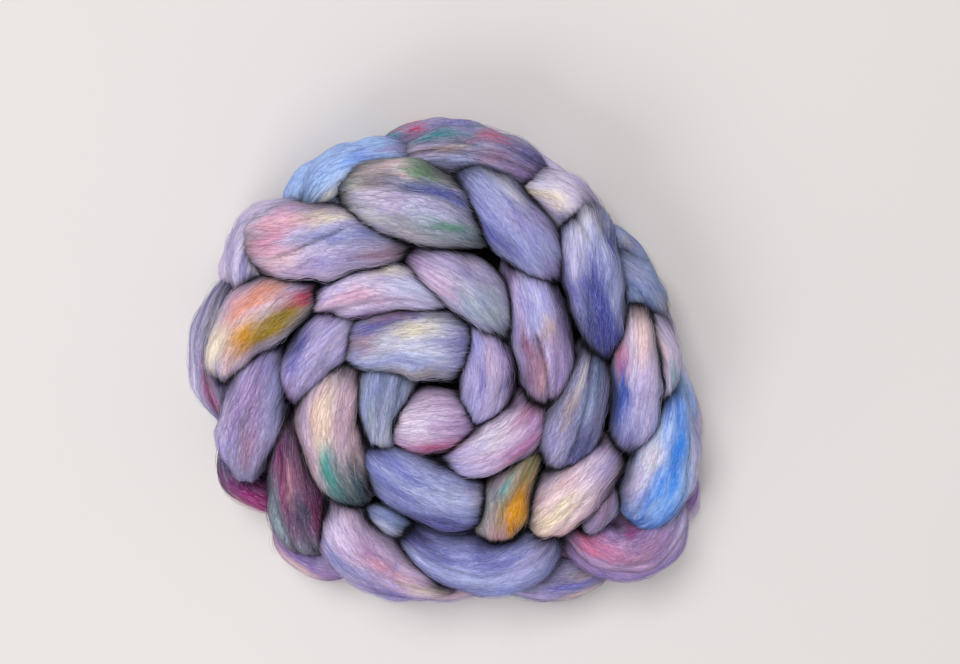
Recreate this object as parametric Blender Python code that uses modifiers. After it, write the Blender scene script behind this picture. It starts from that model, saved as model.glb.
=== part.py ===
"""A wool roving: one long length of dyed combed top, worked into a chain braid and coiled flat.

The coil lies on its back with the braid's V side up. Every leg of the chain that shows is a soft lobe
whose ends dive under its neighbours, and a back lobe lies under each. Their union is one closed solid
with a flat resting face.

The legs are laid out as seen from VIEW_TILT off the coil's axis, because that is how the real coil
was measured. The table gives each leg's route on a plane square to that view, through the middle of
the coil, in millimetres, and at_level() brings each point down the sight line to the leg's own height.
"""

import math

import bmesh
import bpy
from mathutils import Vector

MM = 0.001

# The view that the legs were measured from.
VIEW_TILT = math.radians(16)
VIEW_DISTANCE = 660 * MM
VIEW_LEVEL = 27 * MM

# The middle of the coil's outline in that layout, which becomes the origin.
COIL_MIDDLE = Vector((1.5 * MM, -5.6 * MM, 0.0))

# How a leg is shaped. It runs a little past both ends of its route, under its neighbours.
END_DIVE = 16 * MM
OVERRUN = 1.04
BLUNTNESS = 3.4
NARROWEST = 8 * MM
ROUTE_STEP = 0.01
RINGS = 16
SIDES = 18

# The back of the chain, under each leg.
RESTING_LEVEL = 0.0
BACK_SINK = 2.5 * MM
BACK_SPREAD = 1.1
BACK_OVERLAP = 8 * MM
BACK_HIGHEST = 26 * MM

# The hidden turns inside the coil, which close it between the legs.
BED_RADIUS = 84 * MM
BED_BOTTOM = 6 * MM
BED_TOP = 35 * MM
BED_SIDES = 36

# The union's grid and the share of its faces that is kept.
GRID = 1.9 * MM
KEPT_SHARE = 0.08

WOOL_COLOUR = (0.42, 0.40, 0.58, 1.0)
WOOL_ROUGHNESS = 0.85

# One row for each leg, in millimetres: where it starts, its middle and its end (across, up), its width
# at those three places, the height of its middle line above the table and its thickness.
LEGS = (
    # name, start, middle, end, widths, level, thickness
    # The heart of the coil.
    ("centre_left", (-23, 1), (-28, -18), (-30, -38), (34, 22, 19), 43, 26),
    ("centre_right", (-21, -28), (-5, -25), (13, -27), (14, 33, 10), 44, 27),
    ("core_top", (-44, 8), (-16, 13), (13, 6), (24, 32, 38), 46, 28),
    ("core_right", (16, 21), (22, -4), (14, -29), (10, 25, 8), 43, 27),
    ("core_low_right", (0, -45), (25, -36), (44, -18), (8, 27, 22), 44, 27),
    # The first turn.
    ("mid_low", (-37, -37), (-8, -57), (20, -70), (10, 33, 22), 46, 30),
    ("mid_left", (-46, 4), (-52, -31), (-40, -69), (14, 29, 21), 46, 30),
    ("mid_upper_left", (-43, 23), (-59, 7), (-69, -19), (18, 26, 9), 43, 28),
    ("mid_top_left", (-59, 26), (-28, 38), (4, 30), (17, 24, 9), 44, 28),
    ("mid_top", (-14, 52), (12, 40), (34, 12), (10, 27, 15), 45, 28),
    ("mid_right_top", (36, 49), (47, 17), (49, -19), (21, 28, 19), 45, 28),
    ("mid_right", (70, 8), (64, -20), (53, -48), (8, 27, 18), 44, 28),
    ("mid_low_right", (82, -39), (60, -57), (43, -82), (18, 28, 20), 44, 28),
    ("mid_fan", (45, -39), (31, -62), (26, -84), (9, 23, 23), 42, 26),
    # The second turn's inner legs.
    ("rim_bottom", (-22, -77), (17, -94), (56, -84), (11, 27, 14), 40, 32),
    ("rim_low_left", (-54, -67), (-34, -89), (4, -108), (14, 30, 8), 41, 32),
    ("rim_left_low", (-74, -21), (-70, -56), (-62, -92), (8, 23, 30), 38, 32),
    ("rim_left", (-79, 14), (-89, -20), (-91, -56), (16, 28, 20), 42, 32),
    ("rim_upper_left", (-104, -7), (-89, 22), (-53, 39), (10, 30, 16), 43, 32),
    ("rim_top_left", (-88, 56), (-53, 58), (-15, 56), (30, 33, 8), 45, 32),
    ("rim_top", (-45, 80), (-11, 76), (24, 59), (15, 36, 14), 46, 34),
    ("rim_top_right", (8, 89), (34, 69), (55, 40), (8, 27, 20), 45, 32),
    ("rim_right_top", (64, 73), (71, 38), (79, 2), (22, 27, 14), 44, 32),
    ("rim_right", (89, 30), (92, -6), (89, -42), (8, 23, 19), 42, 32),
    ("rim_low_right", (110, -12), (105, -45), (91, -77), (8, 29, 30), 42, 32),
    ("rim_end", (61, -78), (87, -88), (111, -72), (20, 26, 20), 36, 30),
    # The second turn's outer legs, on the flank.
    ("flank_white", (-66, 68), (-85, 59), (-89, 34), (22, 25, 22), 30, 30),
    ("flank_blue", (-57, 74), (-42, 90), (-13, 95), (22, 26, 20), 30, 32),
    ("flank_top", (-17, 96), (14, 100), (46, 88), (18, 25, 18), 30, 32),
    ("flank_cream", (38, 82), (58, 76), (76, 50), (18, 25, 20), 31, 32),
    ("flank_grey", (78, 46), (90, 38), (98, 20), (16, 24, 18), 28, 32),
    ("flank_right", (90, 27), (103, 8), (103, -20), (16, 15, 10), 36, 30),
    ("flank_right_under", (97, 22), (98, -4), (96, -34), (20, 24, 20), 21, 28),
    ("flank_low_right", (105, -22), (107, -44), (103, -63), (20, 24, 20), 27, 32),
    ("flank_end", (103, -64), (103, -79), (95, -92), (16, 20, 18), 23, 28),
    ("flank_under", (-42, -96), (-10, -100), (28, -98), (18, 24, 18), 20, 30),
    ("flank_bottom", (30, -101), (52, -101), (73, -97), (14, 21, 12), 21, 30),
    ("flank_low_left", (-72, -80), (-60, -88), (-43, -91), (18, 22, 18), 21, 30),
    ("flank_left_low", (-97, -38), (-92, -53), (-76, -62), (18, 22, 18), 22, 30),
    ("flank_left", (-103, 32), (-107, 4), (-99, -24), (16, 22, 16), 26, 32),
    # Small turns that show between the legs, and one that closes the pit behind the end.
    ("lump_low_left", (-34, -69), (-26, -71), (-18, -77), (9, 12, 9), 38, 20),
    ("lump_end", (70, -73), (75, -67), (81, -73), (9, 10, 8), 40, 20),
    ("pit_end", (46, -77), (64, -85), (86, -79), (20, 26, 20), 18, 26),
)


def clear_scene():
    for obj in list(bpy.data.objects):
        bpy.data.objects.remove(obj)


def at_level(across, up, level):
    """The point at this height that the view shows at (across, up)."""
    sight_side = Vector((0.0, math.sin(VIEW_TILT), math.cos(VIEW_TILT)))
    up_in_view = Vector((0.0, math.cos(VIEW_TILT), -math.sin(VIEW_TILT)))
    middle = Vector((0.0, 0.0, VIEW_LEVEL))
    eye = middle + sight_side * VIEW_DISTANCE
    seen = middle + Vector((across, 0.0, 0.0)) + up_in_view * up
    share = (eye.z - level) / (eye.z - seen.z)
    return eye.lerp(seen, share)


def through_three(first, middle, last, share):
    """A parabola through three values, the middle one at half way."""
    bend = 4 * share * (1 - share)
    return first + (last - first) * share + bend * (middle - (first + last) / 2)


def route_point(leg, share, level, dive):
    """A point on the leg's middle line, moved to this level, with both ends dipping."""
    _, start, middle, end, _, leg_level, _ = leg
    across = through_three(start[0], middle[0], end[0], share) * MM
    up = through_three(start[1], middle[1], end[1], share) * MM
    point = at_level(across, up, leg_level * MM)
    point.z = level - dive * abs(2 * share - 1) ** 3
    return point


def add_lobe(mesh, leg, level, thickness, spread, dive):
    """A ball drawn out along the leg's route, blunt at both ends."""
    ball = bmesh.ops.create_uvsphere(mesh, u_segments=SIDES, v_segments=RINGS, radius=1.0)
    widths = leg[4]
    for vert in ball["verts"]:
        reach = 2 * math.asin(max(-1.0, min(1.0, vert.co.z))) / math.pi
        turn = math.atan2(vert.co.y, vert.co.x)
        cap = math.sqrt(max(0.0, 1.0 - abs(reach) ** BLUNTNESS))
        share = 0.5 + 0.5 * reach * OVERRUN
        centre = route_point(leg, share, level, dive)
        before = route_point(leg, share - ROUTE_STEP, level, dive)
        after = route_point(leg, share + ROUTE_STEP, level, dive)
        along = (after - before).normalized()
        sideways = along.cross(Vector((0.0, 0.0, 1.0))).normalized()
        outward = sideways.cross(along)
        width = max(through_three(*widths, share) * MM, NARROWEST) * spread
        vert.co = (
            centre
            + sideways * (math.cos(turn) * cap * width / 2)
            + outward * (math.sin(turn) * cap * thickness / 2)
        )


def back_of(leg):
    """The level and thickness of the back lobe that carries a leg."""
    level, thickness = leg[5] * MM, leg[6] * MM
    top = min(level - thickness / 2 + BACK_OVERLAP, BACK_HIGHEST)
    bottom = RESTING_LEVEL - BACK_SINK
    return (top + bottom) / 2, top - bottom


def add_bed(mesh):
    disc = bmesh.ops.create_cone(
        mesh,
        segments=BED_SIDES,
        radius1=BED_RADIUS,
        radius2=BED_RADIUS,
        depth=BED_TOP - BED_BOTTOM,
        cap_ends=True,
    )
    bmesh.ops.translate(mesh, verts=disc["verts"], vec=(0.0, 0.0, (BED_TOP + BED_BOTTOM) / 2))


def chain_mesh():
    mesh = bmesh.new()
    for leg in LEGS:
        add_lobe(mesh, leg, leg[5] * MM, leg[6] * MM, 1.0, END_DIVE)
        level, thickness = back_of(leg)
        add_lobe(mesh, leg, level, thickness, BACK_SPREAD, 0.0)
    add_bed(mesh)
    bmesh.ops.translate(mesh, verts=mesh.verts, vec=-COIL_MIDDLE)
    bmesh.ops.recalc_face_normals(mesh, faces=mesh.faces)
    data = bpy.data.meshes.new("roving_coil")
    mesh.to_mesh(data)
    mesh.free()
    return data


def wool_material():
    wool = bpy.data.materials.new("dyed_wool")
    wool.use_nodes = True
    shader = wool.node_tree.nodes["Principled BSDF"]
    shader.inputs["Base Color"].default_value = WOOL_COLOUR
    shader.inputs["Roughness"].default_value = WOOL_ROUGHNESS
    shader.inputs["Metallic"].default_value = 0.0
    return wool


def table_block(collection):
    """A block above the table top: what the coil shares with it has a flat resting face."""
    mesh = bmesh.new()
    bmesh.ops.create_cube(mesh, size=1.0)
    bmesh.ops.translate(mesh, verts=mesh.verts, vec=(0.0, 0.0, 0.5 + RESTING_LEVEL))
    data = bpy.data.meshes.new("above_table")
    mesh.to_mesh(data)
    mesh.free()
    block = bpy.data.objects.new("above_table", data)
    block.hide_render = True
    block.display_type = "WIRE"
    collection.objects.link(block)
    return block


def make_coil():
    parts = bpy.data.collections.new("wool roving")
    cutters = bpy.data.collections.new("cutters")
    for collection in (parts, cutters):
        bpy.context.scene.collection.children.link(collection)

    coil = bpy.data.objects.new("roving_coil", chain_mesh())
    coil.data.materials.append(wool_material())
    parts.objects.link(coil)

    union = coil.modifiers.new("one body", "REMESH")
    union.mode = "VOXEL"
    union.voxel_size = GRID
    union.use_smooth_shade = True

    fewer = coil.modifiers.new("fewer faces", "DECIMATE")
    fewer.decimate_type = "COLLAPSE"
    fewer.ratio = KEPT_SHARE

    rest = coil.modifiers.new("resting face", "BOOLEAN")
    rest.operation = "INTERSECT"
    rest.solver = "EXACT"
    rest.object = table_block(cutters)


clear_scene()
make_coil()
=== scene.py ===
"""The looks of a dyed wool roving: combed top in a chain braid, coiled flat.

Each leg of the chain is a soft drawn-out ball with its own ridges and folds, dye that runs along the
fibres, and loose fibres lying on it, with shade painted on its undersides, in its folds, where legs touch
and in the pits. The legs' routes are seen square to the coil's face from the camera's side, and brought
down the sight line to each leg's height. They are nearly the solid's own, but blunter and mostly shorter
at their ends, so that pits open between them, dark from real shade and from painted shade.
"""

import math

import bmesh
import bpy
import numpy as np
from mathutils import Matrix, Vector


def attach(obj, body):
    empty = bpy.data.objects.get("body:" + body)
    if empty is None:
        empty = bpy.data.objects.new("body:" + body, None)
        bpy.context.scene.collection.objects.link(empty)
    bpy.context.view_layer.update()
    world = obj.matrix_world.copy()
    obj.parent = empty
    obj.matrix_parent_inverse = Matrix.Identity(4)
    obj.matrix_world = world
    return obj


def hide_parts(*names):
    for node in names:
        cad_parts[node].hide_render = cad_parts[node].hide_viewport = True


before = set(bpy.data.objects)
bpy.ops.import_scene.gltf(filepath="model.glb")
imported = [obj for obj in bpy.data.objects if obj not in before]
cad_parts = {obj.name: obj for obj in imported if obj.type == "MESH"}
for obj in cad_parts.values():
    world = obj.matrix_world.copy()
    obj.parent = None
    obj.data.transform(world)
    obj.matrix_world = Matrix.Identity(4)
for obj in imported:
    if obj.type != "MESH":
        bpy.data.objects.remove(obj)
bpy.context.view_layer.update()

MM = 0.001

# ---- the view the legs were measured from
VIEW_TILT = math.radians(16)
VIEW_DISTANCE = 660 * MM
VIEW_LEVEL = 27 * MM
COIL_MIDDLE = np.array((1.5 * MM, -5.6 * MM, 0.0))

SIGHT = np.array((0.0, math.sin(VIEW_TILT), math.cos(VIEW_TILT)))
UP_IN_VIEW = np.array((0.0, math.cos(VIEW_TILT), -math.sin(VIEW_TILT)))
ACROSS = np.array((1.0, 0.0, 0.0))

# The camera's frame: its width in pixels, what a pixel covers at VIEW_LEVEL, and its middle.
FRAME_WIDTH = 960
PIXEL = 0.47 * MM
AIM_ACROSS = 17.9 * MM
AIM_UP = 15.5 * MM
SENSOR_WIDTH = 36.0
NEAREST_SEEN = 0.01

# ---- how a leg is shaped
# A leg dips by END_DIVE at both ends, and is closed a little past them by a blunt cap.
END_DIVE = 16 * MM
DIVE_POWER = 3
OVERRUN = 1.04
BLUNTNESS = 5.2
NARROWEST = 8 * MM
ROUTE_STEP = 0.01

# The lobe under each leg, that the coil rests on: level, wider, and turned a little round the coil.
BACK_SINK = 2.5 * MM
BACK_SPREAD = 1.04
BACK_OVERLAP = 8 * MM
BACK_HIGHEST = 26 * MM
BACK_TURN = math.radians(7)
BACK_DYE_SHIFT = 0.3
BACK_NUMBER = 100

# The inner turns, a flat ball that closes the coil between its legs.
BED_RADIUS = 84 * MM
BED_BOTTOM = 6 * MM
BED_TOP = 35 * MM

# One row for each leg, in millimetres: start, middle and end of its route (across, up), its width at
# those three places, the height of its middle line and its thickness. The last column is how far its
# fibres wind round it from start to end, in degrees.
LEGS = (
    # name, start, middle, end, widths, level, thickness, winding
    # The heart of the coil.
    ("centre_left", (-23, 1), (-28, -18), (-29, -36), (34, 22, 21), 43, 26, 0),
    ("centre_right", (-21, -28), (-6, -26), (10, -27), (14, 33, 18), 44, 27, 0),
    ("core_top", (-44, 8), (-16, 13), (13, 6), (24, 32, 38), 46, 28, -15),
    ("core_right", (16, 21), (22, -4), (14, -27), (12, 25, 12), 43, 27, 10),
    ("core_low_right", (0, -45), (25, -36), (44, -18), (8, 27, 22), 44, 27, 10),
    # The first turn.
    ("mid_low", (-34, -40), (-8, -57), (17, -67), (20, 32, 26), 46, 30, -10),
    ("mid_left", (-46, 2), (-52, -31), (-38, -64), (18, 29, 24), 46, 30, 15),
    ("mid_upper_left", (-43, 23), (-58, 7), (-67, -14), (18, 26, 20), 43, 28, 15),
    ("mid_top_left", (-59, 26), (-28, 38), (4, 30), (17, 24, 9), 44, 28, 15),
    ("mid_top", (-12, 50), (13, 38), (32, 15), (12, 25, 16), 45, 28, 10),
    ("mid_right_top", (36, 49), (47, 17), (49, -19), (21, 28, 19), 45, 28, 20),
    ("mid_right", (70, 8), (64, -20), (53, -48), (8, 27, 18), 44, 28, 10),
    ("mid_low_right", (78, -42), (62, -57), (46, -76), (25, 28, 25), 44, 28, 10),
    ("mid_fan", (44, -41), (31, -61), (27, -79), (9, 23, 24), 42, 26, -15),
    # The second turn's inner legs.
    ("rim_bottom", (-22, -77), (15, -94), (50, -86), (11, 27, 20), 40, 32, -20),
    ("rim_low_left", (-51, -69), (-34, -89), (2, -107), (24, 30, 10), 41, 32, 10),
    ("rim_left_low", (-74, -21), (-69, -56), (-62, -86), (8, 26, 30), 38, 32, 25),
    ("rim_left", (-80, 12), (-88, -20), (-92, -50), (20, 28, 26), 42, 32, 25),
    ("rim_upper_left", (-103, -4), (-89, 21), (-59, 35), (14, 30, 25), 43, 32, -15),
    ("rim_top_left", (-88, 56), (-53, 59), (-19, 56), (30, 33, 18), 45, 32, -15),
    ("rim_top", (-40, 79), (-12, 78), (20, 62), (26, 34, 19), 46, 34, -10),
    ("rim_top_right", (14, 87), (34, 69), (53, 44), (20, 27, 23), 45, 32, 10),
    ("rim_right_top", (66, 71), (72, 39), (78, 7), (26, 26, 20), 44, 32, 20),
    ("rim_right", (92, 27), (92, -6), (88, -38), (18, 23, 20), 42, 32, 10),
    ("rim_low_right", (110, -12), (105, -44), (93, -72), (8, 29, 31), 42, 32, 10),
    ("rim_end", (61, -78), (87, -88), (111, -72), (20, 26, 20), 36, 30, 0),
    # The second turn's outer legs, on the flank.
    ("flank_white", (-66, 68), (-85, 59), (-89, 34), (22, 25, 22), 30, 30, 0),
    ("flank_blue", (-57, 74), (-42, 90), (-13, 95), (22, 26, 20), 30, 32, 0),
    ("flank_top", (-17, 96), (14, 100), (46, 88), (18, 25, 18), 30, 32, 0),
    ("flank_cream", (38, 82), (58, 76), (76, 50), (18, 25, 20), 31, 32, 0),
    ("flank_grey", (78, 46), (90, 38), (98, 20), (16, 24, 18), 28, 32, 0),
    ("flank_right", (90, 27), (103, 8), (103, -20), (16, 15, 10), 36, 30, 0),
    ("flank_right_under", (97, 22), (98, -4), (96, -34), (20, 24, 20), 21, 28, 0),
    ("flank_low_right", (105, -22), (107, -44), (103, -63), (20, 24, 20), 27, 32, 0),
    ("flank_end", (103, -64), (103, -79), (95, -92), (16, 20, 18), 23, 28, 0),
    ("flank_under", (-42, -96), (-10, -100), (28, -98), (18, 24, 18), 20, 30, 0),
    ("flank_bottom", (30, -101), (52, -101), (73, -97), (14, 21, 12), 21, 30, 0),
    ("flank_low_left", (-72, -80), (-60, -88), (-43, -91), (18, 22, 18), 21, 30, 0),
    ("flank_left_low", (-97, -38), (-92, -53), (-76, -62), (18, 22, 18), 22, 30, 0),
    ("flank_left", (-103, 32), (-107, 4), (-99, -24), (16, 22, 16), 26, 32, 0),
    # Small turns that show between the legs, and one that closes the pit behind the end, coloured near black
    # as painted pit shade.
    ("lump_low_left", (-33, -70), (-26, -72), (-19, -77), (8, 11, 8), 37, 20, 0),
    ("lump_end", (76, -61), (74, -67), (70, -73), (11, 14, 11), 38, 20, 0),
    ("pit_end", (46, -77), (64, -84), (86, -79), (20, 24, 20), 14, 22, 0),
)

# ---- the dyer's colours, as seen in daylight
DYE = {
    "white": (232, 230, 240),
    "ice": (214, 222, 245),
    "cream": (242, 232, 206),
    "peach": (240, 217, 207),
    "pale_lilac": (212, 205, 230),
    "lilac": (190, 182, 220),
    "pink_lilac": (214, 194, 220),
    "pink": (240, 188, 198),
    "rose": (212, 120, 160),
    "red": (202, 58, 88),
    "coral": (226, 122, 138),
    "magenta": (172, 66, 128),
    "plum": (104, 58, 104),
    "mauve": (164, 136, 180),
    "rose_brown": (158, 112, 132),
    "grey_lilac": (158, 154, 184),
    "tan": (172, 154, 148),
    "grey": (136, 138, 152),
    "charcoal": (70, 66, 84),
    "steel": (152, 168, 202),
    "blue_lilac": (172, 178, 216),
    "periwinkle": (152, 158, 204),
    "violet": (124, 118, 184),
    "deep_violet": (84, 78, 150),
    "ultramarine": (64, 72, 168),
    "navy": (52, 58, 128),
    "cornflower": (78, 140, 222),
    "sky": (172, 202, 242),
    "teal": (52, 132, 136),
    "dark_teal": (36, 80, 92),
    "aqua": (104, 176, 170),
    "green": (60, 150, 112),
    "leaf": (112, 152, 112),
    "grey_green": (152, 172, 178),
    "olive": (140, 138, 84),
    "mustard": (166, 140, 36),
    "ochre": (212, 154, 36),
    "orange": (232, 158, 118),
    "blush": (236, 208, 210),
    "stone": (198, 196, 204),
    "slate": (84, 102, 146),
    "deep_blue": (40, 88, 184),
    "bright_aqua": (82, 188, 178),
    "wine": (126, 54, 92),
}

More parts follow.
